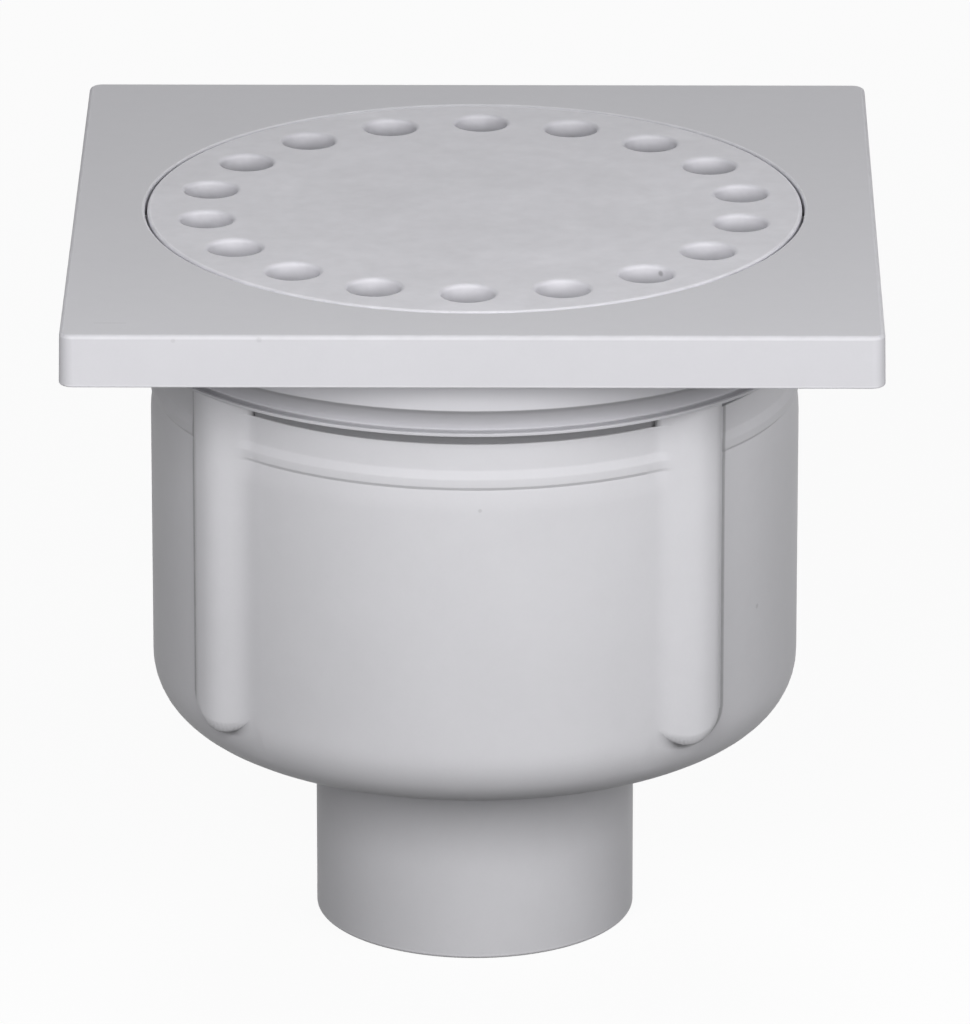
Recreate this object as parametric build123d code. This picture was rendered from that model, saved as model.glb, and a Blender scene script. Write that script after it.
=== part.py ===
from build123d import *
import os

# Floor gully trap in moulded PVC, in millimetres.
# Origin at the centre of the spigot's end face, +Z up, the plate's sides along X and Y.

# Pot
spigot_r = 20.1  # outside of the outlet, for a 40 mm pipe socket
spigot_length = 26.9
spigot_wall = 1.8
spigot_lead = 0.5  # chamfer at the spigot's end
pot_depth = 49.0  # underside of the bowl to the rim
pot_wall = 1.8
bowl_round = 8.0  # outer rounding between wall and bottom
rim_step = 0.5  # how far the wall stands back under the rim
rim_band = 3.5  # rim to the upper end of the slanted shoulder
band_slope = 1.0  # height of the slanted shoulder
score_drop = 1.0  # shoulder to the fine score round the wall
score_width = 0.4
score_depth = 0.25
rib_count = 4
rib_r = 3.7
rib_foot_rise = 6.6  # underside of the bowl to the ribs' feet
rib_head_gap = 0.1  # ribs' heads to the frame's lip
rib_head_edge = 0.5  # chamfer round the ribs' heads
rib_blend_r = 0.4  # hollow rounding where the ribs leave the wall
pot_turn = -3.0  # degrees the pot is turned from square with the plate

# Water seal
riser_r = 17.0
riser_wall = 1.8
bell_passage = 6.1  # water way between riser and bell
bell_wall = 1.8
bell_floor_gap = 10.5  # water way under the bell
water_seal = 32.0  # bell's lower edge to the riser's top
neck_height = 3.0  # cone between the spigot's bore and the riser's bore

# Frame
plate_side = 100.0  # at the plate's lower edge
plate_height = 6.65
plate_skin = 2.2
plate_wall = 2.0
plate_corner_r = 1.8
plate_draft = 1.0  # degrees
plate_edge = 0.5  # chamfer round the plate's top
plate_foot_edge = 0.3  # chamfer round the plate's lower edge
plate_border = 8.85  # opening to the middle of the plate's sides
opening_edge = 0.3  # chamfer round the opening
skirt_wall = 3.55
skirt_drop = 4.85  # plate's lower edge to the skirt's lower edge
collar_wall = 1.75  # at its narrow upper end
collar_flare = 0.7
collar_height = 3.15
lip_out = 0.45
lip_height = 0.4
groove_height = 2.25  # shadow gap between lip and rim
web_thickness = 2.0
rim_show = 0.25  # part of the rim left clear by the frame's shoulder
pot_inset = 0.5  # opening's radius less the pot's
tube_clearance = 0.25
tube_wall = 1.5
tube_drop = 7.75  # rim to the tube's lower end
gusset_thickness = 1.6
gusset_rise = 1.0  # plate's lower edge to the gussets' lower edges
gusset_aside = 30.0  # plate's middle to the gussets square with its sides
seat_rib_count = 8
seat_rib_width = 2.0
seat_rib_depth = 2.2

# Grate
grate_thickness = 1.6
grate_gap = 0.3
grate_edge = 0.35  # chamfer round the grate
hole_count = 18
hole_r = 3.3
hole_inset = 7.15  # grate's edge to the ring of hole centres
hole_edge = 0.5  # chamfer round each hole
grate_turn = -1.0  # degrees the hole ring is turned from square with the plate

# Heights, from the spigot's end upwards
floor_z = spigot_length + pot_wall
bell_low_z = floor_z + bell_floor_gap
riser_top_z = bell_low_z + water_seal
rim_z = spigot_length + pot_depth
lip_low_z = rim_z + groove_height
lip_top_z = lip_low_z + lip_height
web_top_z = lip_low_z + web_thickness
skirt_low_z = lip_top_z + collar_height
plate_low_z = skirt_low_z + skirt_drop
plate_top_z = plate_low_z + plate_height
seat_z = plate_top_z - grate_thickness

# Radii, from the plate's opening inwards and outwards
opening_r = plate_side / 2 - plate_border
skirt_r = opening_r + skirt_wall
collar_top_r = opening_r + collar_wall
collar_low_r = collar_top_r + collar_flare
lip_r = collar_low_r + lip_out
pot_r = opening_r - pot_inset
pot_bore_r = pot_r - pot_wall
tube_r = pot_bore_r - tube_clearance
tube_bore_r = tube_r - tube_wall
rim_r = pot_r - rim_step
shoulder_r = rim_r - rim_show
rib_back_r = (shoulder_r + pot_r) / 2
spigot_bore_r = spigot_r - spigot_wall
riser_bore_r = riser_r - riser_wall
bell_bore_r = riser_r + bell_passage
bell_r = bell_bore_r + bell_wall
grate_r = opening_r - grate_gap
hole_ring_r = grate_r - hole_inset


def turned(corners, rounds=()):
    """Solid turned about Z from (radius, height) corners, some of them rounded."""
    section = make_face(Polyline(*corners, close=True))
    for corner, radius in rounds:
        section = fillet(section.vertices().sort_by_distance((*corner, 0))[0], radius)
    return revolve(Plane.XZ * section, Axis.Z)


def disc(radius, low, high):
    """Upright cylinder between two heights."""
    return Pos(0, 0, low) * Cylinder(radius, high - low, align=(Align.CENTER, Align.CENTER, Align.MIN))


def mouth(radius, low, edge):
    """Round cutter up to the plate's top, widened there for a chamfered edge."""
    top = plate_top_z
    return turned([(0, low), (radius, low), (radius, top - edge), (radius + edge, top), (0, top)])


def rib_places():
    """Places of the ribs round the pot's wall."""
    return PolarLocations(pot_r, rib_count, start_angle=180 / rib_count + pot_turn)


def add_ribs(pot):
    """Pot with half-round ribs up to its rim, domed at the foot and blended into the wall."""
    dome_z = spigot_length + rib_foot_rise + rib_r
    rib = disc(rib_r, dome_z, rim_z) + Pos(0, 0, dome_z) * Sphere(rib_r)
    ribs = [place * rib for place in rib_places()]
    ribbed = pot + ribs
    return fillet(new_edges(pot, *ribs, combined=ribbed), rib_blend_r)


def add_rib_heads(pot):
    """Pot with the ribs' heads, which stand above the rim and clear of the frame's shoulder."""
    head_z = lip_low_z - rib_head_gap
    head = disc(rib_r, rim_z, head_z)
    head = chamfer(head.edges().group_by(Axis.Z)[-1], rib_head_edge)
    for place in rib_places():
        pot += place * head - disc(rib_back_r, rim_z, head_z)
    return pot


def cut_rim_band(pot):
    """Pot with its wall set back under the rim, and a fine score below, both between the ribs."""
    step_z = rim_z - rim_band
    edge_z = step_z - band_slope
    score_z = edge_z - score_drop
    score_low_z = score_z - score_width
    clear_r = pot_r + rib_blend_r
    band = turned([(pot_r, edge_z), (clear_r, edge_z), (clear_r, rim_z), (rim_r, rim_z), (rim_r, step_z)])
    score = turned([
        (pot_r, score_z), (pot_r - score_depth, (score_z + score_low_z) / 2), (pot_r, score_low_z),
        (clear_r, score_low_z), (clear_r, score_z),
    ])
    cut = band + score
    for place in rib_places():
        cut -= place * disc(rib_r + rib_blend_r, score_low_z, rim_z)
    return pot - cut


def make_body():
    """Pot with its bowl, ribs and rim band, the spigot under it and the riser inside it."""
    bowl_corner = (pot_r, spigot_length)
    floor_corner = (pot_bore_r, floor_z)
    pot = turned([(0, spigot_length), bowl_corner, (pot_r, rim_z), (0, rim_z)], [(bowl_corner, bowl_round)])
    pot = add_rib_heads(cut_rim_band(add_ribs(pot)))
    pot -= turned(
        [(0, floor_z), floor_corner, (pot_bore_r, rim_z), (0, rim_z)],
        [(floor_corner, max(bowl_round - pot_wall, pot_wall))],
    )
    spigot = disc(spigot_r, 0, floor_z)
    spigot = chamfer(spigot.edges().group_by(Axis.Z)[0], spigot_lead)
    riser = disc(riser_r, spigot_length, riser_top_z)
    bore = turned([
        (0, 0), (spigot_bore_r, 0), (spigot_bore_r, spigot_length - neck_height),
        (riser_bore_r, spigot_length), (riser_bore_r, riser_top_z), (0, riser_top_z),
    ])
    return pot + spigot + riser - bore


def ring_of_frame():
    """Skirt, flared collar with its lip, web, shoulder on the rim and tube into the pot's mouth."""
    tube_low_z = rim_z - tube_drop
    under_skin_z = plate_top_z - plate_skin
    return turned([
        (tube_bore_r, tube_low_z), (tube_r, tube_low_z), (tube_r, rim_z),
        (shoulder_r, rim_z), (shoulder_r, lip_low_z), (lip_r, lip_low_z), (lip_r, lip_top_z),
        (collar_low_r, lip_top_z), (collar_top_r, skirt_low_z), (skirt_r, skirt_low_z),
        (skirt_r, under_skin_z), (opening_r, under_skin_z),
        (opening_r, web_top_z), (tube_bore_r, web_top_z),
    ])


def gussets_of_frame(room):
    """Upright webs under the plate, from the skirt to the plate's wall, kept inside the hollow room."""
    height = plate_height - plate_skin - gusset_rise
    low = plate_low_z + gusset_rise
    level = (Align.CENTER, Align.CENTER, Align.MIN)
    diagonal = Pos(0, 0, low) * Box(2 * plate_side, gusset_thickness, height, align=level)
    straight = Pos(0, 0, low) * Box(plate_side, gusset_thickness, height, align=level)
    webs = [Rot(0, 0, angle) * diagonal for angle in (45, 135)]
    for side in (-gusset_aside, gusset_aside):
        webs += [Rot(0, 0, angle) * Pos(0, side, 0) * straight for angle in (0, 90)]
    return [(web & room) - disc(skirt_r - skirt_wall / 2, low, low + height) for web in webs]


def make_frame():
    """Square plate, hollow underneath, round the grate's opening and standing on the pot's rim."""
    outline = Pos(0, 0, plate_low_z) * RectangleRounded(plate_side, plate_side, plate_corner_r)
    plate = extrude(outline, amount=plate_height, taper=plate_draft)
    plate = chamfer(plate.faces().sort_by(Axis.Z)[-1].edges(), plate_edge)
    plate = chamfer(plate.faces().sort_by(Axis.Z)[0].edges(), plate_foot_edge)
    room_side = plate_side - 2 * plate_wall
    room = Pos(0, 0, plate_low_z) * Rectangle(room_side, room_side)
    room = extrude(room, amount=plate_height - plate_skin)
    frame = plate - room
    for web in gussets_of_frame(room):
        frame += web
    frame = frame + ring_of_frame() - mouth(opening_r, web_top_z, opening_edge)
    seat_rib = Box(
        seat_rib_depth + skirt_wall / 2, seat_rib_width, seat_z - web_top_z,
        align=(Align.MIN, Align.CENTER, Align.MIN),
    )
    for place in PolarLocations(opening_r - seat_rib_depth, seat_rib_count):
        frame += place * Pos(0, 0, web_top_z) * seat_rib
    return frame


def make_grate():
    """Round cover with a ring of holes, and the bell under its blank centre."""
    cover = disc(grate_r, seat_z, plate_top_z)
    cover = chamfer(cover.edges().group_by(Axis.Z)[-1], grate_edge)
    hole = mouth(hole_r, seat_z, hole_edge)
    places = PolarLocations(hole_ring_r, hole_count, start_angle=90 + grate_turn)
    cover -= [place * hole for place in places]
    return cover + (disc(bell_r, bell_low_z, seat_z) - disc(bell_bore_r, bell_low_z, seat_z))


os.makedirs("parts", exist_ok=True)
export_step(make_body(), "parts/body.step")
export_step(make_frame(), "parts/frame.step")
export_step(make_grate(), "parts/grate.step")
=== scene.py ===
from math import acos, atan, atan2, cos, exp, hypot, pi, radians, sin, sqrt, tan
import bmesh
import bpy
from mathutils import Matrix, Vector


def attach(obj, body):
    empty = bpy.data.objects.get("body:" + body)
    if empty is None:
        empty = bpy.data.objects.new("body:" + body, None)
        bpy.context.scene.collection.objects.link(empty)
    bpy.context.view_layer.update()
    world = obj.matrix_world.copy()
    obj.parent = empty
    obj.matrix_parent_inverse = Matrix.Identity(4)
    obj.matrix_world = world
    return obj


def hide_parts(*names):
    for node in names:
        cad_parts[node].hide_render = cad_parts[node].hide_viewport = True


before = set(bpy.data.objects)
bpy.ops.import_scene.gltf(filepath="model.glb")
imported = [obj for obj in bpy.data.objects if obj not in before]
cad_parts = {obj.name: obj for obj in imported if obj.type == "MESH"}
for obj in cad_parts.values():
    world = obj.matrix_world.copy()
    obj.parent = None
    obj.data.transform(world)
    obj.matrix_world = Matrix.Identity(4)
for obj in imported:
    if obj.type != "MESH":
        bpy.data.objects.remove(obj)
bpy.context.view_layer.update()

# Lengths are in millimetres, from the spigot's end face upwards, and MM turns them into the frame's metres.
# Names that end in EDGE, ROOT or EASE are small roundings.
MM = 0.001

# Heights
SPIGOT_LENGTH = 26.9
FLOOR_Z = 28.7
BELL_LOW_Z = 39.2
RISER_TOP_Z = 71.2
RIM_Z = 75.9
LIP_LOW_Z = 78.15
LIP_TOP_Z = 78.55
WEB_TOP_Z = 80.15
SKIRT_LOW_Z = 81.7
PLATE_LOW_Z = 86.55
SKIN_LOW_Z = 91.0
SEAT_Z = 91.6
PLATE_TOP_Z = 93.2

# Pot
POT_R = 40.65
POT_BORE_R = 38.85
BOWL_ROUND = 8.0
FLOOR_ROUND = 6.2
SPIGOT_R = 20.1
SPIGOT_BORE_R = 18.3
RISER_R = 17.0
RISER_BORE_R = 15.2
NECK_HEIGHT = 3.0
POT_TURN = -4.2
RIB_COUNT = 4
RIB_OUTER = 32.5
RIB_WIDTH = 7.6
RIB_DEPTH = 3.9
RIB_EDGE = 0.4
RIB_FADE = 0.4
RIB_FOOT_Z = 33.5
RIB_FOOT_R = 3.7
RIB_FOOT_EDGE = 1.4
RIB_HEAD_Z = 78.05
RIB_HEAD_EDGE = 0.5
RIB_BACK_R = 40.275
RIM_EDGE = 0.25
RIM_STEP = 0.5
RIM_BAND = 3.5
BAND_EASE = 0.2
BAND_SLOPE = 1.0
KNEE_EASE = 0.12
SCORE_DROP = 1.0
SCORE_WIDTH = 0.4
SCORE_DEPTH = 0.3
SCORE_EASE = 0.05
SCORE_FLAT = 0.1
SCORE_RUN = 3.0
MOUTH_EDGE = 0.2
SPIGOT_ROOT = 0.25
SPIGOT_EDGE = 0.45
SPIGOT_BORE_EDGE = 0.3
NECK_EASE = 0.5
RISER_EDGE = 0.3
RISER_ROOT = 0.6

# Frame
PLATE_HALF = 50.0
PLATE_DRAFT = radians(1.0)
PLATE_CORNER_R = 1.8
PLATE_CORNER_LEAST = 0.1
PLATE_EDGE = 0.5
PLATE_FOOT_EDGE = 0.25
ROOM_HALF = 48.0
ROOM_CORNER_R = 0.6
ROOM_ROOT = 0.4
ROOM_EDGE = 0.2
OPENING_R = 41.15
OPENING_EDGE = 0.35
SKIRT_R = 44.7
SKIRT_EDGE = 0.12
COVE_LOW_R = 42.45
COVE_START = radians(20.0)
COVE_STOP = radians(50.0)
COVE_FOOT_R = 0.12
LIP_R = 43.9
LIP_LOW_EDGE = 0.1
LIP_TOP_EDGE = 0.08
SHOULDER_R = 39.9
SHOULDER_ROOT = 0.25
WEB_EASE = 0.4
TUBE_R = 38.6
TUBE_EDGE = 0.4
TUBE_BORE_R = 37.1
TUBE_BORE_EDGE = 0.25
TUBE_LOW_Z = 68.15
GUSSET_THICKNESS = 1.6
GUSSET_ASIDE = 30.0
GUSSET_LOW_Z = 87.55
SEAT_RIB_COUNT = 8
SEAT_RIB_WIDTH = 2.0
SEAT_RIB_DEPTH = 2.2

# Grate
GRATE_R = 40.85
GRATE_EDGE = 0.35
GRATE_LOW_EDGE = 0.2
GRATE_TURN = -1.0
HOLE_COUNT = 18
HOLE_R = 3.3
HOLE_EDGE = 0.5
HOLE_RING_R = 33.7
HOLE_COLLAR = 0.7
HOLE_COLLAR_LOW_Z = 90.5
HOLE_COLLAR_EDGE = 0.12
BELL_R = 24.9
BELL_BORE_R = 23.1
BELL_EDGE = 0.4
BELL_CROWN = 0.6
SINK_DEPTH = 0.03
SINK_SPREAD = 1.6

# Points closer than this, in metres, are one point.
SAME_POINT = 1e-7


class Skin:
    """Points and faces of one moulding, laid down row by row."""

    def __init__(self):
        self.points = []
        self.faces = []

    def row(self, points):
        """Adds points and returns their numbers."""
        first = len(self.points)
        self.points += [tuple(p) for p in points]
        return list(range(first, len(self.points)))

    def join(self, one, two, ring=True):
        """Lays four-sided faces between two rows."""
        count = len(one)
        for i in range(count if ring else count - 1):
            j = (i + 1) % count
            self.faces.append((one[i], one[j], two[j], two[i]))

    def block(self, corners):
        """Closes a six-sided block over four lower and four upper corners."""
        low = self.row(corners[:4])
        high = self.row(corners[4:])
        self.join(low, high)
        self.faces += [tuple(low), tuple(high)]

    def piece(self, name, node, finish):
        """Makes the Blender object that stands for a node of the frame."""
        mesh = bpy.data.meshes.new(name)
        mesh.from_pydata([tuple(c * MM for c in p) for p in self.points], [], self.faces)
        work = bmesh.new()
        work.from_mesh(mesh)
        bmesh.ops.remove_doubles(work, verts=work.verts, dist=SAME_POINT)
        bmesh.ops.dissolve_degenerate(work, dist=SAME_POINT, edges=work.edges)
        bmesh.ops.recalc_face_normals(work, faces=work.faces)
        work.to_mesh(mesh)
        work.free()
        mesh.shade_smooth()
        made = bpy.data.objects.new(name, mesh)
        bpy.context.scene.collection.objects.link(made)
        weighted = made.modifiers.new("even_shading", "WEIGHTED_NORMAL")
        weighted.keep_sharp = True
        mesh.materials.append(finish)
        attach(made, "root")
        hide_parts(node)
        return made


def polar(radius, angle, z):
    """Point at an angle round the axis."""
    return (radius * cos(angle), radius * sin(angle), z)


def eased(corners, steps=4):
    """Closed outline of (kind, radius, height) points, each corner rounded by its own radius."""
    outline = []
    for i, (kind, r, z, rounding) in enumerate(corners):
        here = Vector((r, z))
        if not rounding:
            outline.append((kind, r, z))
            continue
        before = (Vector(corners[i - 1][1:3]) - here).normalized()
        after = (Vector(corners[(i + 1) % len(corners)][1:3]) - here).normalized()
        half = before.angle(after) / 2
        centre = here + (before + after).normalized() * rounding / sin(half)
        start = here + before * rounding / tan(half) - centre
        stop = here + after * rounding / tan(half) - centre
        turn = pi - 2 * half
        for k in range(steps + 1):
            t = k / steps
            at = centre + (start * sin((1 - t) * turn) + stop * sin(t * turn)) / sin(turn)
            outline.append((kind, at.x, at.y))
    return outline


def spread(start, stop, steps):
    """Evenly spaced values from start up to, and without, stop."""
    return [start + (stop - start) * i / steps for i in range(steps)]


# Laying the pot

WALL_STEPS = 14
STRIP_STEPS = 3
SIDE_STEPS = 6
PROFILE_STEPS = 14
HEAD_STEPS = 4
BODY_ROWS = 6
BOWL_ROWS = 9
INSIDE_STEPS = 6
FOOT_STEPS = 2 * (PROFILE_STEPS + STRIP_STEPS)
FOOT_REACH = 6.6
DOME_DROP = RIM_Z - RIB_FOOT_Z - RIB_FOOT_R
SECTOR = 2 * pi / RIB_COUNT


def pot_side(angle, drop, lift):
    """Point on the pot's outside, down its wall and round its bowl from the rim, raised from the surface."""
    straight = RIM_Z - SPIGOT_LENGTH - BOWL_ROUND
    turn = max(0.0, drop - straight) / BOWL_ROUND
    radius = POT_R - BOWL_ROUND + (BOWL_ROUND + lift) * cos(turn)
    z = RIM_Z - min(drop, straight) - (BOWL_ROUND + lift) * sin(turn)
    return polar(radius, angle, z)


def pulled(aside, depth):
    """Distance from a rib's middle and height of a point that the mould pulls straight out of the wall."""
    x = RIB_OUTER - aside
    y = sqrt(POT_R ** 2 - x ** 2) + depth
    return (SECTOR / 2 - atan2(x, y)) * POT_R, hypot(x, y) - POT_R


def rib_depth(aside):
    """How far a rib stands out in the mould's pull, at a distance in from its steep outer side."""
    return RIB_DEPTH * (1 + cos(pi * max(0.0, aside - RIB_EDGE) / (RIB_WIDTH - RIB_EDGE))) / 2


def turned_in(depth, crown, edge):
    """How far a rounded edge below a crown has turned in at some depth."""
    over = min(1.0, max(0.0, 1 - (crown - depth) / edge))
    return edge * (1 - sqrt(1 - over * over))


def rib_levels():
    """Outlines of a rib from the wall to its crown: (outer side, inner side, depth)."""
    levels = []
    for i in range(PROFILE_STEPS + 1):
        inner = RIB_EDGE + (RIB_WIDTH - RIB_EDGE) * (1 - i / PROFILE_STEPS)
        depth = rib_depth(inner)
        levels.append((turned_in(depth, RIB_DEPTH, RIB_EDGE), inner, depth))
    return levels


def rib_section(k):
    """Section of rib k along the wall as (distance aside, height), steep on one side, smooth on the other."""
    levels = rib_levels()
    section = [pulled(outer, depth) for outer, _, depth in levels]
    section += [pulled(inner, depth) for _, inner, depth in reversed(levels[:-1])]
    return section if k % 2 == 0 else [(-u, h) for u, h in reversed(section)]


def rib_angle(k):
    """Angle of rib k's middle round the axis."""
    return SECTOR * (k + 0.5) + radians(POT_TURN)


def wall_angles(k, side):
    """Angles of the plain wall beside rib k: -1 is before the rib, 1 after it."""
    edge = rib_angle(k) + side * FOOT_REACH / POT_R
    far = rib_angle(k) + side * SECTOR / 2
    return spread(far, edge, WALL_STEPS) if side < 0 else spread(edge, far, WALL_STEPS)


def ribbed_row(drop, lift):
    """Ring round the pot's wall and ribs at one depth; a lift of the wall fades out on the ribs."""
    ring = []
    for k in range(RIB_COUNT):
        middle = rib_angle(k)
        section = rib_section(k)
        ring += [pot_side(a, drop, lift) for a in wall_angles(k, -1)]
        for u in spread(-FOOT_REACH, section[0][0], STRIP_STEPS):
            ring.append(pot_side(middle + u / POT_R, drop, lift))
        for u, h in section[:-1]:
            ring.append(pot_side(middle + u / POT_R, drop, h + lift * max(0.0, 1 - h / RIB_FADE)))
        for u in spread(section[-1][0], FOOT_REACH, STRIP_STEPS):
            ring.append(pot_side(middle + u / POT_R, drop, lift))
        ring += [pot_side(a, drop, lift) for a in wall_angles(k, 1)]
    return ring


def plain_angles():
    """Angles of the pot's columns where there are no ribs."""
    angles = []
    half = FOOT_REACH / POT_R
    for k in range(RIB_COUNT):
        angles += wall_angles(k, -1)
        angles += spread(rib_angle(k) - half, rib_angle(k) + half, FOOT_STEPS)
        angles += wall_angles(k, 1)
    return angles


def rim_rows():
    """(drop, lift) of the rows from the rim over the set-back band and the fine score to the plain wall."""
    knee = RIM_BAND + BAND_SLOPE
    score = knee + SCORE_DROP
    low = score + SCORE_WIDTH
    return [
        (0.0, -RIM_STEP - RIM_EDGE), (RIM_EDGE * 0.3, -RIM_STEP - RIM_EDGE * 0.3), (RIM_EDGE, -RIM_STEP),
        (RIM_BAND - BAND_EASE, -RIM_STEP), (RIM_BAND + BAND_EASE * 0.4, -RIM_STEP + BAND_EASE * 0.15),
        (knee - KNEE_EASE, -KNEE_EASE / 2), (knee + KNEE_EASE, 0.0),
        (score - SCORE_EASE, 0.0), (score + SCORE_EASE, -SCORE_DEPTH * 0.1),
        (low, -SCORE_DEPTH), (low + SCORE_FLAT, -SCORE_DEPTH),
        (low + SCORE_RUN * 0.3, -SCORE_DEPTH * 0.57), (low + SCORE_RUN * 0.7, -SCORE_DEPTH * 0.13),
        (low + SCORE_RUN, 0.0),
    ]


def lay_rib_heads(skin, rim_ring):
    """Heads of the ribs above the rim; returns the rim's ring with the heads' backs in it."""
    back = RIB_BACK_R - POT_R
    inner_ring = list(rim_ring)
    section_start = WALL_STEPS + STRIP_STEPS
    per_rib = len(rim_ring) // RIB_COUNT
    count = 2 * PROFILE_STEPS + 1

    def head_row(k, inset, z):
        points = []
        for u, h in rib_section(k):
            thick = h + back * max(0.0, 1 - h / RIB_FADE) - back
            points.append(polar(RIB_BACK_R + thick - min(inset, thick / 2), rib_angle(k) + u / POT_R, z))
        return points

    for k in range(RIB_COUNT):
        start = k * per_rib + section_start
        columns = [(start + i) % len(rim_ring) for i in range(count)]
        ledge = skin.row(head_row(k, 0.0, RIM_Z))
        skin.join([rim_ring[c] for c in columns], ledge, ring=False)
        below = ledge
        heights = []
        for i in range(HEAD_STEPS + 1):
            turn = i / HEAD_STEPS * pi / 2
            heights.append(RIB_HEAD_Z - RIB_HEAD_EDGE * (1 - sin(turn)))
            row = skin.row(head_row(k, RIB_HEAD_EDGE * (1 - cos(turn)), heights[-1]))
            skin.join(below, row, ring=False)
            below = row
        for z in heights[::-1] + [RIM_Z]:
            row = skin.row([polar(RIB_BACK_R, rib_angle(k) + u / POT_R, z) for u, _ in rib_section(k)])
            skin.join(below, row, ring=False)
            below = row
        skin.faces.append((rim_ring[columns[0] - 1], rim_ring[columns[0]], ledge[0]))
        skin.faces.append((rim_ring[columns[-1]], below[-1], below[-2]))
        for c, i in zip(columns[:-1], below[:-1]):
            inner_ring[c] = i
    return inner_ring


def foot_place(angle, outer, inner, depth):
    """Place on one outline of a rib's foot, at an angle, as (distance in from the outer side, drop)."""
    first, last = (acos(1 - 2 * side / RIB_WIDTH) for side in (outer, inner))
    at = min(max(angle, first), last)
    aside = RIB_WIDTH / 2 * (1 - cos(at))
    drop = (RIB_FOOT_R - turned_in(depth, rib_depth(aside), RIB_FOOT_EDGE)) * sin(at)
    if angle < first:
        drop *= angle / first
    if angle > last:
        drop *= (pi - angle) / (pi - last)
    return aside, drop


def lay_rib_feet(skin, upper, lower):
    """Rounded feet of the ribs and the wall between them, down to the plain bowl."""
    rib = rib_levels()
    per_rib = len(upper) // RIB_COUNT
    levels = [DOME_DROP + FOOT_REACH * j / SIDE_STEPS for j in range(SIDE_STEPS + 1)]
    sides = []
    for k in range(RIB_COUNT):
        middle = rib_angle(k)
        hand = 1 if k % 2 == 0 else -1
        first = k * per_rib + WALL_STEPS
        row = upper[first:first + FOOT_STEPS + 1]
        foot = lower[first:first + FOOT_STEPS + 1]
        edge = FOOT_REACH / POT_R
        left = [row[0]] + skin.row([pot_side(middle - edge, v, 0) for v in levels[1:-1]]) + [foot[0]]
        right = [row[-1]] + skin.row([pot_side(middle + edge, v, 0) for v in levels[1:-1]]) + [foot[-1]]
        sides.append((left, right))
        border = left + foot[1:-1] + right[::-1]
        turns = len(border) - 1
        places = [(-FOOT_REACH, v - DOME_DROP) for v in levels]
        places += [(u, FOOT_REACH) for u in spread(-FOOT_REACH, FOOT_REACH, FOOT_STEPS)[1:]]
        places += [(FOOT_REACH, v - DOME_DROP) for v in levels[::-1]]
        before = border
        contours = [(q / STRIP_STEPS, rib[0]) for q in range(1, STRIP_STEPS)]
        contours += [(1.0, level) for level in rib[:-1]]
        for step, (share, (outer, inner, depth)) in enumerate(contours, 1):
            points = []
            for i in range(1, turns):
                aside, drop = foot_place(pi * (i if hand > 0 else turns - i) / turns, outer, inner, depth)
                u, h = pulled(aside, depth)
                u = (1 - share) * places[i][0] + share * hand * u
                v = (1 - share) * places[i][1] + share * drop
                points.append(pot_side(middle + u / POT_R, DOME_DROP + v, h))
            contour = [row[step]] + skin.row(points) + [row[-1 - step]]
            skin.join(before, contour, ring=False)
            before = contour
        crown = row[len(row) // 2]
        skin.faces += [(before[i], before[i + 1], crown) for i in range(turns)]
    for k in range(RIB_COUNT):
        after = (k + 1) % RIB_COUNT
        start = k * per_rib + WALL_STEPS + FOOT_STEPS
        columns = [(start + i) % len(upper) for i in range(2 * WALL_STEPS + 1)]
        before = [upper[c] for c in columns]
        angles = wall_angles(k, 1) + wall_angles(after, -1)
        for j in range(1, SIDE_STEPS):
            inner = skin.row([pot_side(a, levels[j], 0) for a in angles[1:]])
            chain = [sides[k][1][j]] + inner + [sides[after][0][j]]
            skin.join(before, chain, ring=False)
            before = chain
        skin.join(before, [lower[c] for c in columns], ring=False)


def pot_moulding(finish):
    """Pot with its ribs, rim band, bowl and spigot, and the riser and the water's room inside."""
    skin = Skin()
    rows = [skin.row(ribbed_row(drop, lift)) for drop, lift in rim_rows()]
    last_drop = rim_rows()[-1][0]
    for drop in spread(last_drop, DOME_DROP, BODY_ROWS)[1:] + [DOME_DROP]:
        rows.append(skin.row(ribbed_row(drop, 0.0)))
    for one, two in zip(rows, rows[1:]):
        skin.join(one, two)
    angles = plain_angles()
    bowl_end = RIM_Z - SPIGOT_LENGTH - BOWL_ROUND + BOWL_ROUND * pi / 2
    lower = skin.row([pot_side(a, DOME_DROP + FOOT_REACH, 0) for a in angles])
    lay_rib_feet(skin, rows[-1], lower)
    below = lower
    for drop in spread(DOME_DROP + FOOT_REACH, bowl_end, BOWL_ROWS)[1:]:
        row = skin.row([pot_side(a, drop, 0) for a in angles])
        skin.join(below, row)
        below = row
    inside = eased([
        ("round", POT_R - BOWL_ROUND, SPIGOT_LENGTH, 0), ("round", SPIGOT_R, SPIGOT_LENGTH, SPIGOT_ROOT),
        ("round", SPIGOT_R, 0, SPIGOT_EDGE), ("round", SPIGOT_BORE_R, 0, SPIGOT_BORE_EDGE),
        ("round", SPIGOT_BORE_R, SPIGOT_LENGTH - NECK_HEIGHT, NECK_EASE),
        ("round", RISER_BORE_R, SPIGOT_LENGTH, NECK_EASE),
        ("round", RISER_BORE_R, RISER_TOP_Z, RISER_EDGE), ("round", RISER_R, RISER_TOP_Z, RISER_EDGE),
        ("round", RISER_R, FLOOR_Z, RISER_ROOT), ("round", POT_BORE_R, FLOOR_Z, FLOOR_ROUND),
        ("round", POT_BORE_R, RIM_Z, MOUTH_EDGE), ("round", POT_R, RIM_Z, 0),
    ], steps=INSIDE_STEPS)[:-1]
    for _, r, z in inside:
        row = skin.row([polar(r, a, z) for a in angles])
        skin.join(below, row)
        below = row
    skin.join(below, lay_rib_heads(skin, rows[0]))
    return skin.piece("pot_moulding", "body", finish)


# Laying the frame

PLATE_SIDE_STEPS = 36
PLATE_CORNER_STEPS = 8
COVE_STEPS = 8


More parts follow.
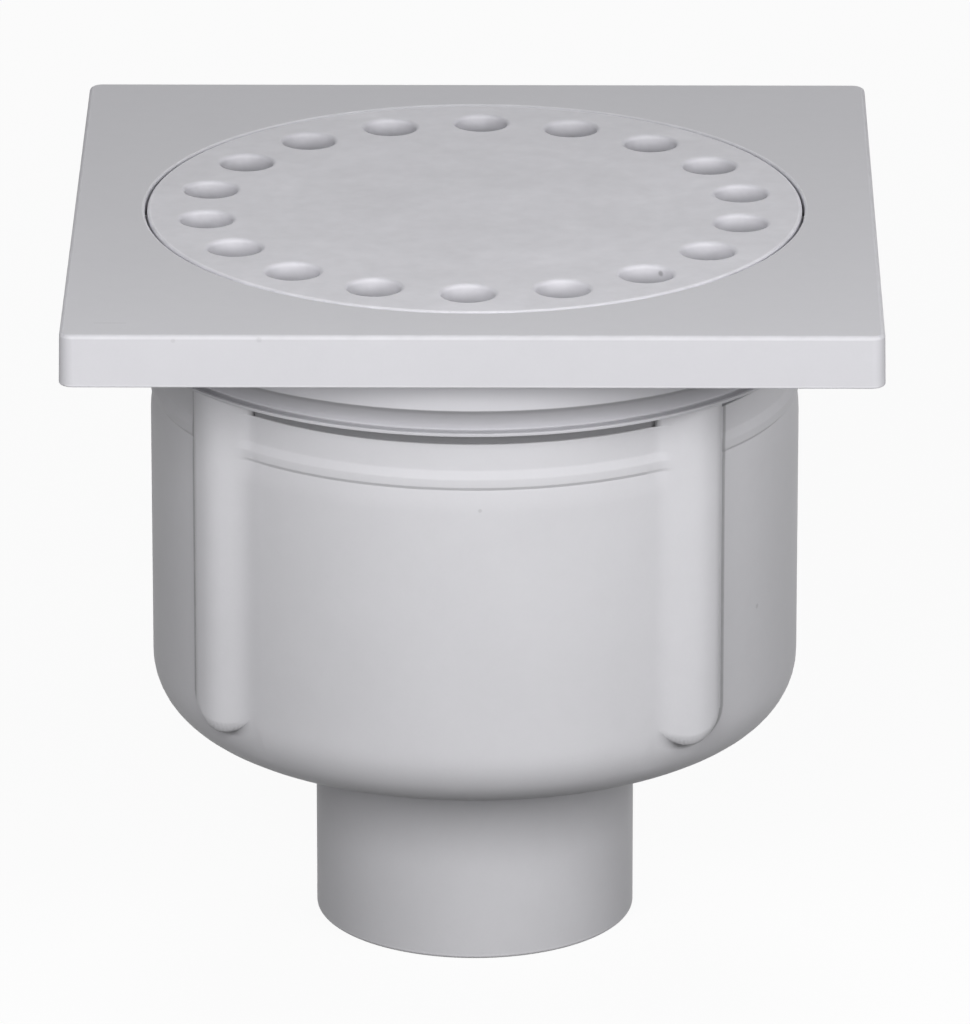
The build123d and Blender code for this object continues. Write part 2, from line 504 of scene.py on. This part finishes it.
def plate_ring(kind, half, z):
    """Ring of the frame: a circle, or the plate's rounded square inside or outside."""
    straight = PLATE_HALF - PLATE_CORNER_R
    limit = atan(straight / PLATE_HALF)
    corner_r = max(PLATE_CORNER_R - (PLATE_HALF - half), PLATE_CORNER_LEAST)
    if kind == "room":
        corner_r = ROOM_CORNER_R
    sides = spread(-limit, limit, PLATE_SIDE_STEPS)
    corners = spread(0, pi / 2, PLATE_CORNER_STEPS)
    if kind == "round":
        for b in corners:
            sides.append(atan2(straight + PLATE_CORNER_R * sin(b), straight + PLATE_CORNER_R * cos(b)))
        plan = [(half * cos(a), half * sin(a)) for a in sides]
    else:
        middle = half - corner_r
        plan = [(half, middle * tan(a) / tan(limit)) for a in sides]
        plan += [(middle + corner_r * cos(b), middle + corner_r * sin(b)) for b in corners]
    ring = []
    for quarter in range(4):
        c, s = cos(quarter * pi / 2), sin(quarter * pi / 2)
        ring += [(x * c - y * s, x * s + y * c, z) for x, y in plan]
    return ring


def lay_web(skin, start, stop, low, high, thickness):
    """Upright web between two points of the plan."""
    along = Vector(stop) - Vector(start)
    aside = Vector((-along.y, along.x)).normalized() * thickness / 2
    plan = [Vector(start) - aside, Vector(stop) - aside, Vector(stop) + aside, Vector(start) + aside]
    skin.block([(p.x, p.y, low) for p in plan] + [(p.x, p.y, high) for p in plan])


def frame_moulding(finish):
    """Square plate, hollow below, with its opening, skirt, collar, lip and tube, and the webs under it."""
    skin = Skin()
    top_half = PLATE_HALF - (PLATE_TOP_Z - PLATE_LOW_Z) * tan(PLATE_DRAFT)
    cove_r = (SKIRT_LOW_Z - LIP_TOP_Z) / (sin(COVE_STOP) - sin(COVE_START))
    cove = []
    for a in spread(COVE_START, COVE_STOP, COVE_STEPS) + [COVE_STOP]:
        r = COVE_LOW_R + cove_r * (cos(COVE_START) - cos(a))
        z = LIP_TOP_Z + cove_r * (sin(a) - sin(COVE_START))
        cove.append(("round", r, z, 0 if cove else COVE_FOOT_R))
    outline = eased([
        ("round", TUBE_BORE_R, TUBE_LOW_Z, TUBE_BORE_EDGE), ("round", TUBE_R, TUBE_LOW_Z, TUBE_EDGE),
        ("round", TUBE_R, RIM_Z, 0), ("round", SHOULDER_R, RIM_Z, 0),
        ("round", SHOULDER_R, LIP_LOW_Z, SHOULDER_ROOT),
        ("round", LIP_R, LIP_LOW_Z, LIP_LOW_EDGE), ("round", LIP_R, LIP_TOP_Z, LIP_TOP_EDGE),
        *cove, ("round", SKIRT_R, SKIRT_LOW_Z + SKIRT_EDGE, 0), ("round", SKIRT_R, SKIN_LOW_Z, ROOM_ROOT),
        ("room", ROOM_HALF, SKIN_LOW_Z, ROOM_ROOT), ("room", ROOM_HALF, PLATE_LOW_Z, ROOM_EDGE),
        ("plate", PLATE_HALF, PLATE_LOW_Z, PLATE_FOOT_EDGE), ("plate", top_half, PLATE_TOP_Z, PLATE_EDGE),
        ("round", OPENING_R, PLATE_TOP_Z, OPENING_EDGE), ("round", OPENING_R, WEB_TOP_Z, WEB_EASE),
        ("round", TUBE_BORE_R, WEB_TOP_Z, WEB_EASE),
    ])
    rows = [skin.row(plate_ring(*place)) for place in outline]
    for one, two in zip(rows, rows[1:] + rows[:1]):
        skin.join(one, two)
    sunk = 0.3
    near = SKIRT_R - sunk
    corner = ROOM_HALF + sunk
    for heading in range(4):
        c, s = round(cos(heading * pi / 2)), round(sin(heading * pi / 2))
        diagonal = near * sqrt(0.5)
        skin_at = sqrt(near ** 2 - GUSSET_ASIDE ** 2)
        spans = [((diagonal, diagonal), (corner - ROOM_CORNER_R, corner - ROOM_CORNER_R))]
        spans += [((skin_at, y), (corner, y)) for y in (-GUSSET_ASIDE, GUSSET_ASIDE)]
        for start, stop in spans:
            turned = [(x * c - y * s, x * s + y * c) for x, y in (start, stop)]
            lay_web(skin, *turned, GUSSET_LOW_Z, SKIN_LOW_Z + sunk, GUSSET_THICKNESS)
    for i in range(SEAT_RIB_COUNT):
        a = 2 * pi * i / SEAT_RIB_COUNT
        inner, outer = (Vector((cos(a), sin(a))) * r for r in (OPENING_R - SEAT_RIB_DEPTH, OPENING_R + sunk))
        lay_web(skin, inner, outer, WEB_TOP_Z - sunk, SEAT_Z, SEAT_RIB_WIDTH)
    return skin.piece("frame_moulding", "frame", finish)


# Laying the grate

CELL_STEPS = 8
CELL_HALF = 5.6
CELL_SHARE = 0.6
CELL_MARGIN = 0.15
EDGE_STEPS = 6
EDGE_MARGIN = 0.1
SINK_STEPS = 16
SINK_STOP_R = 18
BLANK_R = 15
BLANK_STEPS = 3
CENTRE_R = 3


def grate_ring(radius, z):
    """Circle of the grate, in step with the cells round its holes."""
    count = HOLE_COUNT * CELL_STEPS
    start = pi / 2 + radians(GRATE_TURN) - pi / HOLE_COUNT
    return [polar(radius, start + 2 * pi * i / count, z) for i in range(count)]


def lay_cells(skin, inner, outer, z, hole_rows):
    """Flat face between two rings of the grate, open at each hole, with rows of the hole's edge inside it."""
    near, far = HOLE_RING_R - CELL_HALF, HOLE_RING_R + CELL_HALF
    count = len(inner)
    start = pi / 2 + radians(GRATE_TURN) - pi / HOLE_COUNT
    spokes = []
    for k in range(HOLE_COUNT):
        angle = start + 2 * pi * k / HOLE_COUNT
        between = skin.row([polar(r, angle, z) for r in spread(near, far, CELL_STEPS)[1:]])
        spokes.append([inner[k * CELL_STEPS]] + between + [outer[k * CELL_STEPS]])
    last_rows = []
    for k in range(HOLE_COUNT):
        low = [inner[(k * CELL_STEPS + i) % count] for i in range(CELL_STEPS + 1)]
        high = [outer[(k * CELL_STEPS + i) % count] for i in range(CELL_STEPS + 1)]
        after = spokes[(k + 1) % HOLE_COUNT]
        border = low[:-1] + after[:-1] + high[:0:-1] + spokes[k][:0:-1]
        middle = start + 2 * pi * (k + 0.5) / HOLE_COUNT
        cx, cy, _ = polar(HOLE_RING_R, middle, 0)
        headings = [atan2(skin.points[i][1] - cy, skin.points[i][0] - cx) for i in border]
        even = [headings[0] - 2 * pi * i / len(border) for i in range(len(border))]
        before = border
        for share, r, level in hole_rows:
            ring = []
            for i, b in enumerate(border):
                x, y = cx + r * cos(even[i]), cy + r * sin(even[i])
                px, py, _ = skin.points[b]
                ring.append((px + (x - px) * share, py + (y - py) * share, level))
            row = skin.row(ring)
            skin.join(before, row)
            before = row
        last_rows.append(before)
    return last_rows


def sink(radius):
    """Height of the top face, drawn in a little over the bell's wall."""
    middle = (BELL_R + BELL_BORE_R) / 2
    return PLATE_TOP_Z - SINK_DEPTH * exp(-((radius - middle) / SINK_SPREAD) ** 2)


def grate_moulding(finish):
    """Round cover with its ring of holes, and the bell under it."""
    skin = Skin()
    near, far = HOLE_RING_R - CELL_HALF, HOLE_RING_R + CELL_HALF
    inner_top = skin.row(grate_ring(near, PLATE_TOP_Z))
    outer_top = skin.row(grate_ring(far, PLATE_TOP_Z))
    inner_low = skin.row(grate_ring(near, SEAT_Z))
    outer_low = skin.row(grate_ring(far, SEAT_Z))
    quarter = [i * pi / (2 * EDGE_STEPS) for i in range(EDGE_STEPS + 1)]
    rim_r = HOLE_R + HOLE_EDGE
    top_rows = [(CELL_SHARE, rim_r, PLATE_TOP_Z), (1, rim_r + CELL_MARGIN, PLATE_TOP_Z)]
    top_rows += [(1, rim_r - HOLE_EDGE * sin(a), PLATE_TOP_Z - HOLE_EDGE * (1 - cos(a))) for a in quarter]
    collar_r = HOLE_R + HOLE_COLLAR
    low_rows = [(CELL_SHARE, collar_r, SEAT_Z), (1, collar_r, SEAT_Z), (1, collar_r, HOLE_COLLAR_LOW_Z)]
    low_rows.append((1, HOLE_R + HOLE_COLLAR_EDGE, HOLE_COLLAR_LOW_Z))
    low_rows.append((1, HOLE_R, HOLE_COLLAR_LOW_Z + HOLE_COLLAR_EDGE))
    tops = lay_cells(skin, inner_top, outer_top, PLATE_TOP_Z, top_rows)
    lows = lay_cells(skin, inner_low, outer_low, SEAT_Z, low_rows)
    for top, low in zip(tops, lows):
        skin.join(top, low)
    below = outer_top
    edge = [(GRATE_R - GRATE_EDGE - EDGE_MARGIN, PLATE_TOP_Z)]
    edge += [(GRATE_R - GRATE_EDGE * (1 - sin(a)), PLATE_TOP_Z - GRATE_EDGE * (1 - cos(a))) for a in quarter]
    for inset, rise in ((0, 1), (0.25, 0.25), (1, 0)):
        edge.append((GRATE_R - GRATE_LOW_EDGE * inset, SEAT_Z + GRATE_LOW_EDGE * rise))
    for r, z in edge:
        row = skin.row(grate_ring(r, z))
        skin.join(below, row)
        below = row
    skin.join(below, outer_low)
    below = inner_top
    rings = spread(near, SINK_STOP_R, SINK_STEPS)[1:] + spread(BLANK_R, CENTRE_R, BLANK_STEPS) + [CENTRE_R]
    for r in rings:
        row = skin.row(grate_ring(r, sink(r)))
        skin.join(below, row)
        below = row
    skin.faces.append(tuple(below))
    bell = eased([
        ("round", CENTRE_R, SEAT_Z, 0), ("round", near, SEAT_Z, 0), ("round", BELL_R, SEAT_Z, BELL_EDGE),
        ("round", BELL_R, BELL_LOW_Z, BELL_EDGE), ("round", BELL_BORE_R, BELL_LOW_Z, BELL_EDGE),
        ("round", BELL_BORE_R, SEAT_Z, BELL_CROWN),
    ])[2:]
    below = inner_low
    for _, r, z in bell:
        row = skin.row(grate_ring(r, z))
        skin.join(below, row)
        below = row
    skin.faces.append(tuple(below))
    return skin.piece("grate_moulding", "grate", finish)


# Finishes

PVC_ROUGHNESS = 0.42
PVC_GLOSS = 0.05
PVC_IOR = 1.5
BUMP_STRENGTH = 0.12
BUMP_HEIGHT = 0.12

# Painted shade line round the ribs: its shift beside every second rib, and its drop at the feet
LINE_SHIFT = 0.3
LINE_DROP = 0.6

# How much painted shade darkens each place
JOINT_PAINTED_SHADE = 0.48
CORNER_PAINTED_SHADE = 0.28
RIB_LINE_PAINTED_SHADE = 0.36
PAINTED_SHADE_MOTTLE = 0.2
COLLAR_PAINTED_SHADE = 0.1
UNDER_SKIRT_PAINTED_SHADE = 0.2
LEDGE_PAINTED_SHADE = 0.25

# How much lighter: the worn spigot end, edges worn and with painted highlight, the grate's smudges and ring
SPIGOT_RUB = 0.06
PLATE_RUB_AND_HIGHLIGHT = 0.10
MOUTH_RUB_AND_HIGHLIGHT = 0.16
GRATE_RUB_AND_HIGHLIGHT = 0.12
SMUDGE_LIGHT = 0.035
RING_LIGHT = 0.015

# How much each mark darkens its place
WALL_SPECK_DARK = 0.16
PLATE_MARK_DARK = 0.1
GRATE_NICK_DARK = 0.2
HOLE_SPECK_DARK = 0.4

# Small marks, each with its place and size
SPOT_CORE = 0.3
WALL_SPECKS = [((35.24, -20.25, 47.56), 0.45), ((0.91, -40.64, 67.44), 0.35)]
PLATE_NICKS = [((-25.69, -49.95, 92.69), 0.5), ((-36.06, -49.95, 92.55), 0.4)]
GRATE_NICKS = [((-18.22, -36.83, 93.2), 0.45), ((-4.91, -40.89, 93.2), 0.4)]
HOLE_SPECKS = [((23.01, -23.43, 92.28), 0.5)]
SCUFF_X = (-45.65, -42.02)
SCUFF_Y = (-45.27, -45.15)


class Value:
    """A shader socket that joins in Python sums."""

    def __init__(self, finish, socket):
        self.finish = finish
        self.socket = socket

    def sum(self, operation, *terms):
        """Adds a maths node over the terms."""
        return self.finish.node("Math", {"operation": operation}, dict(enumerate(terms)))

    def __add__(self, other):
        return self.sum("ADD", self, other)

    __radd__ = __add__

    def __mul__(self, other):
        return self.sum("MULTIPLY", self, other)

    __rmul__ = __mul__

    def __sub__(self, other):
        return self.sum("SUBTRACT", self, other)

    def __rsub__(self, other):
        return self.sum("SUBTRACT", other, self)

    def __truediv__(self, other):
        return self.sum("DIVIDE", self, other)

    def __pow__(self, other):
        return self.sum("POWER", self, other)

    def size(self):
        """Value without its sign."""
        return self.sum("ABSOLUTE", self)

    def most(self, other):
        """Larger of two values."""
        return self.sum("MAXIMUM", self, other)


class Finish:
    """Node tree of a material or of the surroundings, whose nodes are added one by one."""

    def __init__(self, owner):
        owner.use_nodes = True
        self.tree = owner.node_tree
        self.tree.nodes.clear()

    def node(self, kind, settings=None, sockets=None, out=0):
        """Adds a node, sets it up, then fills its sockets, and returns one of its outputs."""
        made = self.tree.nodes.new("ShaderNode" + kind)
        for key, value in (settings or {}).items():
            setattr(made, key, value)
        for key, value in (sockets or {}).items():
            if isinstance(value, Value):
                self.tree.links.new(value.socket, made.inputs[key])
            else:
                made.inputs[key].default_value = value
        return Value(self, made.outputs[out]) if made.outputs else None


class Places:
    """Places on a moulding, in millimetres, for its marks, the painted shade in its joints and its worn edges
    with painted highlight.
    """

    def __init__(self, finish):
        self.finish = finish
        metres = finish.node("TexCoord", out="Object")
        self.point = finish.node("VectorMath", {"operation": "SCALE"}, {0: metres, "Scale": 1 / MM})
        axes = [finish.node("SeparateXYZ", sockets={0: self.point}, out=axis) for axis in "XYZ"]
        self.x, self.y, self.z = axes
        self.radius = (self.x * self.x + self.y * self.y) ** 0.5
        self.square = self.x.size().most(self.y.size())

    def noise(self, scale, detail):
        """Noise from about -0.5 to 0.5, with scale in waves per millimetre."""
        wave = {"Vector": self.point, "Scale": scale, "Detail": detail}
        return self.finish.node("TexNoise", sockets=wave) - 0.5

    def ramp(self, value, start, stop):
        """Smooth climb from 0 to 1 between two values."""
        return self.finish.node("MapRange", {"interpolation_type": "SMOOTHSTEP"}, {
            "Value": value, "From Min": start, "From Max": stop})

    def band(self, value, low, high, fade):
        """1 between two values, fading to 0 on both sides of them."""
        return self.ramp(value, low - fade, low) * (1 - self.ramp(value, high, high + fade))

    def spots(self, marks):
        """1 at each mark's place, fading to 0 at its size."""
        total = 0
        for at, size in marks:
            ends = {0: self.point, 1: at}
            away = self.finish.node("VectorMath", {"operation": "DISTANCE"}, ends, out="Value")
            total = 1 - self.ramp(away, size * SPOT_CORE, size) + total
        return total


def moulded_pvc(name, colour, cloudiness, shading):
    """Satin moulded PVC: cloudy colour, fine grain, soft gloss that varies, and the piece's own shading."""
    material = bpy.data.materials.new(name)
    finish = Finish(material)
    places = Places(finish)
    cloud = places.noise(scale=0.09, detail=4.0)
    mottle = places.noise(scale=0.45, detail=3.0)
    grain = places.noise(scale=2.6, detail=2.0)
    swell = places.noise(scale=0.16, detail=1.0)
    # The piece's shading holds painted shade and painted highlight as well as real marks
    marks = shading(places, mottle)
    shade = (1 + cloud * cloudiness + mottle * cloudiness * 0.5 + grain * 0.02) * marks
    red, green, blue = (shade * part for part in colour)
    tint = finish.node("CombineColor", sockets={"Red": red, "Green": green, "Blue": blue})
    rough = PVC_ROUGHNESS + cloud * 0.16 + grain * 0.06 - (marks - 1) * 0.2
    height = grain * 0.35 + swell * 0.65 + (marks - 1) * 0.5
    bump = finish.node("Bump", sockets={
        "Strength": BUMP_STRENGTH, "Distance": BUMP_HEIGHT * MM, "Height": height,
    })
    shader = finish.node("BsdfPrincipled", sockets={
        "Base Color": tint, "Roughness": rough, "Normal": bump,
        "IOR": PVC_IOR, "Specular IOR Level": PVC_GLOSS,
    })
    finish.node("OutputMaterial", sockets={"Surface": shader})
    return material


def pot_shading(places, mottle):
    """Painted shade in the joint, round the spigot's root and along the ribs, a worn spigot end and two
    specks.
    """
    z, radius = places.z, places.radius
    joint = places.ramp(z, RIM_Z - 0.15, RIM_Z) * (1 - places.ramp(radius, POT_R - 0.45, POT_R - 0.15))
    corner = places.band(z, SPIGOT_LENGTH - 0.3, SPIGOT_LENGTH + 0.1, fade=0.5)
    corner = corner * (1 - places.ramp(radius, SPIGOT_R + 0.4, SPIGOT_R + 4.9))
    worn = places.band(z, 0.05, 0.5, fade=0.2) * places.ramp(radius, SPIGOT_R - 0.6, SPIGOT_R - 0.2)
    # Painted shade: the joint's recess, the corner at the spigot's root and the creases by the ribs
    mottled = mottle * PAINTED_SHADE_MOTTLE
    painted_shade = (1 - joint * JOINT_PAINTED_SHADE) * (1 - corner * (CORNER_PAINTED_SHADE + mottled))
    painted_shade = painted_shade * (1 - rib_line(places) * (RIB_LINE_PAINTED_SHADE + mottled))
    return painted_shade * (1 + worn * SPIGOT_RUB) * (1 - places.spots(WALL_SPECKS) * WALL_SPECK_DARK)


def rib_line(places):
    """Painted shade along the foot of the ribs' steep sides and round their feet."""
    turn = radians(POT_TURN)
    side = places.x * cos(turn) + places.y * sin(turn)
    along = places.y * cos(turn) - places.x * sin(turn)
    leaning = places.ramp(side * along, -1.0, 1.0)
    across = side.size() - leaning * LINE_SHIFT
    dome_z = RIB_FOOT_Z + RIB_FOOT_R - LINE_DROP
    aside = (across - (RIB_OUTER - RIB_WIDTH / 2)) / (RIB_WIDTH / 2)
    below = (places.z - dome_z) / RIB_FOOT_R
    round_foot = (aside * aside + below * below) ** 0.5
    above = places.ramp(places.z, dome_z - 0.2, dome_z)
    upright = places.ramp(across, RIB_OUTER, RIB_OUTER + 0.05)
    upright = upright * (1 - places.ramp(across, RIB_OUTER + 0.25, RIB_OUTER + 0.45))
    foot = places.band(round_foot, 1.0, 1.05, fade=0.06)
    foot = foot * places.ramp(across, RIB_OUTER - 5.5, RIB_OUTER - 2.0)
    outside = places.ramp(places.radius, POT_BORE_R - 1, POT_BORE_R)
    return (upright * above + foot * (1 - above)) * outside


def frame_shading(places, mottle):
    """Painted shade in the joint and under the skirt, plate edges worn and with painted highlight, two nicks
    and a scuff.
    """
    z, radius, square = places.z, places.radius, places.square
    joint = places.band(z, RIM_Z, LIP_LOW_Z - 0.1, fade=0.1)
    joint = joint * (1 - places.ramp(radius, LIP_R - 1.3, LIP_R - 0.3))
    collar = places.band(z, LIP_LOW_Z + 0.1, SKIRT_LOW_Z, fade=0.05)
    collar = collar * (1 - places.ramp(radius, SKIRT_R - 0.3, SKIRT_R - 0.1))
    under = places.ramp(z, SKIRT_LOW_Z - 0.9, SKIRT_LOW_Z)
    under = under * (1 - places.ramp(z, SKIRT_LOW_Z, SKIRT_LOW_Z + 0.2))
    ledge = places.band(radius, COVE_LOW_R - 0.15, LIP_R - 0.4, fade=0.1)
    ledge = ledge * places.band(z, LIP_TOP_Z - 0.15, LIP_TOP_Z + 0.07, fade=0.1)
    edge = places.ramp(square, PLATE_HALF - 0.7, PLATE_HALF - 0.5)
    edge = edge * places.ramp(z, PLATE_TOP_Z - 0.6, PLATE_TOP_Z - 0.4)
    foot = places.ramp(square, PLATE_HALF - 0.4, PLATE_HALF - 0.25)
    foot = foot * (1 - places.ramp(z, PLATE_LOW_Z + 0.25, PLATE_LOW_Z + 0.45))
    mouth = places.band(radius, OPENING_R - 0.25, OPENING_R + 0.3, fade=0.12)
    mouth = mouth * places.ramp(z, PLATE_TOP_Z - 0.5, PLATE_TOP_Z - 0.35)
    # Painted highlight, with wear, along the plate's top and foot edges and the opening's rim
    rubbed_and_highlit = ((edge + foot) * PLATE_RUB_AND_HIGHLIGHT + mouth * MOUTH_RUB_AND_HIGHLIGHT) * (1 + mottle)
    scuff = places.band(places.x, *SCUFF_X, fade=0.3) * places.band(places.y, *SCUFF_Y, fade=0.12)
    marks = (places.spots(PLATE_NICKS) + scuff) * PLATE_MARK_DARK
    # Painted shade in the joint, on the collar, just under the skirt and on the ledge
    painted_shade = (1 - joint * JOINT_PAINTED_SHADE) * (1 - collar * COLLAR_PAINTED_SHADE)
    painted_shade = painted_shade * (1 - under * UNDER_SKIRT_PAINTED_SHADE) * (1 - ledge * LEDGE_PAINTED_SHADE)
    return painted_shade * (1 + rubbed_and_highlit) * (1 - marks)


def grate_shading(places, mottle):
    """Smudges and a faint ring over the bell's wall, edges worn and with painted highlight, two nicks and a
    speck in a hole.
    """
    smudge = places.ramp(places.noise(scale=0.12, detail=5.0), 0.02, 0.2)
    ring = places.band(places.radius, BELL_BORE_R + 0.4, BELL_R - 0.4, fade=1.2)
    edge = places.ramp(places.radius, GRATE_R - 0.55, GRATE_R - 0.35)
    edge = edge * places.ramp(places.z, PLATE_TOP_Z - 0.5, PLATE_TOP_Z - 0.35)
    # The edge term is painted highlight, with wear, along the grate's edge
    light = smudge * SMUDGE_LIGHT + ring * RING_LIGHT + edge * GRATE_RUB_AND_HIGHLIGHT * (1 + mottle)
    nicks = places.spots(GRATE_NICKS) * GRATE_NICK_DARK
    specks = places.spots(HOLE_SPECKS) * HOLE_SPECK_DARK
    return (1 + light) * (1 - nicks) * (1 - specks)


def white_to_the_eye(finish):
    """1 where a ray comes from the camera, a reflection or a clear body."""
    kinds = ("Is Camera Ray", "Is Glossy Ray", "Is Transmission Ray")
    straight, mirrored, through = (finish.node("LightPath", out=kind) for kind in kinds)
    return straight.most(mirrored.most(through))


def floor_finish():
    """Pale floor that looks white and still takes a soft shadow."""
    material = bpy.data.materials.new("floor_pale")
    finish = Finish(material)
    glow_share = 0.93
    dull = finish.node("BsdfDiffuse", sockets={"Color": (0.08, 0.08, 0.08, 1.0)})
    pale = finish.node("BsdfDiffuse", sockets={"Color": (0.95, 0.95, 0.95, 1.0)})
    glow = finish.node("Emission", sockets={"Color": (1.0, 1.0, 1.0, 1.0), "Strength": 1.0})
    white = finish.node("MixShader", sockets={0: glow_share, 1: pale, 2: glow})
    look = finish.node("MixShader", sockets={0: white_to_the_eye(finish), 1: dull, 2: white})
    finish.node("OutputMaterial", sockets={"Surface": look})
    return material


def lay_floor():
    """Pale floor under the spigot."""
    half = 3.0
    mesh = bpy.data.meshes.new("floor")
    corners = [(-half, -half, 0), (half, -half, 0), (half, half, 0), (-half, half, 0)]
    mesh.from_pydata(corners, [], [(0, 1, 2, 3)])
    mesh.materials.append(floor_finish())
    made = bpy.data.objects.new("floor", mesh)
    bpy.context.scene.collection.objects.link(made)


def light_room():
    """White surroundings to the eye, dim ones to the surfaces."""
    world = bpy.data.worlds.new("studio")
    bpy.context.scene.world = world
    finish = Finish(world)
    seen = white_to_the_eye(finish)
    dim = finish.node("Background", sockets={"Color": (0.9, 0.95, 1.0, 1.0), "Strength": 0.02})
    white = finish.node("Background", sockets={"Color": (1.0, 1.0, 1.0, 1.0), "Strength": 1.0})
    look = finish.node("MixShader", sockets={0: seen, 1: dim, 2: white})
    finish.node("OutputWorld", sockets={"Surface": look})


def hang_lamp(name, azimuth, elevation, distance, width, height, power):
    """Soft lamp that faces the pot; azimuth 0 is the front, positive to the right."""
    a, e = radians(azimuth), radians(elevation)
    middle = Vector((0, 0, RIM_Z / 2 * MM))
    at = middle + Vector((sin(a) * cos(e), -cos(a) * cos(e), sin(e))) * distance
    lamp = bpy.data.lights.new(name, "AREA")
    lamp.shape = "RECTANGLE"
    lamp.size = width
    lamp.size_y = height
    lamp.energy = power
    made = bpy.data.objects.new(name, lamp)
    made.location = at
    made.rotation_euler = (middle - at).to_track_quat("-Z", "Y").to_euler()
    bpy.context.scene.collection.objects.link(made)


def set_camera():
    """Camera at the photograph's place: a little above, square to the plate's front."""
    target = Vector((1.287, 0, 52.593)) * MM
    azimuth, elevation = radians(0.323), radians(19.911)
    distance = 1.41952
    back = Vector((sin(azimuth) * cos(elevation), -cos(azimuth) * cos(elevation), sin(elevation)))
    camera = bpy.data.cameras.new("camera")
    camera.lens = 396.15
    camera.sensor_width = 36.0
    made = bpy.data.objects.new("camera", camera)
    made.location = target + back * distance
    made.rotation_euler = (-back).to_track_quat("-Z", "Y").to_euler()
    bpy.context.scene.collection.objects.link(made)
    bpy.context.scene.camera = made


POT_GREY = (0.705, 0.70, 0.728)
FRAME_GREY = (0.69, 0.685, 0.718)
GRATE_GREY = (0.785, 0.777, 0.82)

pot_moulding(moulded_pvc("pot_satin_pvc", POT_GREY, cloudiness=0.06, shading=pot_shading))
frame_moulding(moulded_pvc("frame_satin_pvc", FRAME_GREY, cloudiness=0.05, shading=frame_shading))
grate_moulding(moulded_pvc("grate_cloudy_pvc", GRATE_GREY, cloudiness=0.24, shading=grate_shading))

lay_floor()
light_room()
hang_lamp("left_softbox", azimuth=-17, elevation=24, distance=0.37, width=0.26, height=0.18, power=0.84)
hang_lamp("right_softbox", azimuth=49, elevation=24, distance=0.37, width=0.26, height=0.18, power=0.60)
hang_lamp("back_softbox", azimuth=180, elevation=40, distance=1.2, width=0.5, height=0.5, power=5.5)
set_camera()
bpy.context.scene.view_settings.view_transform = "Standard"
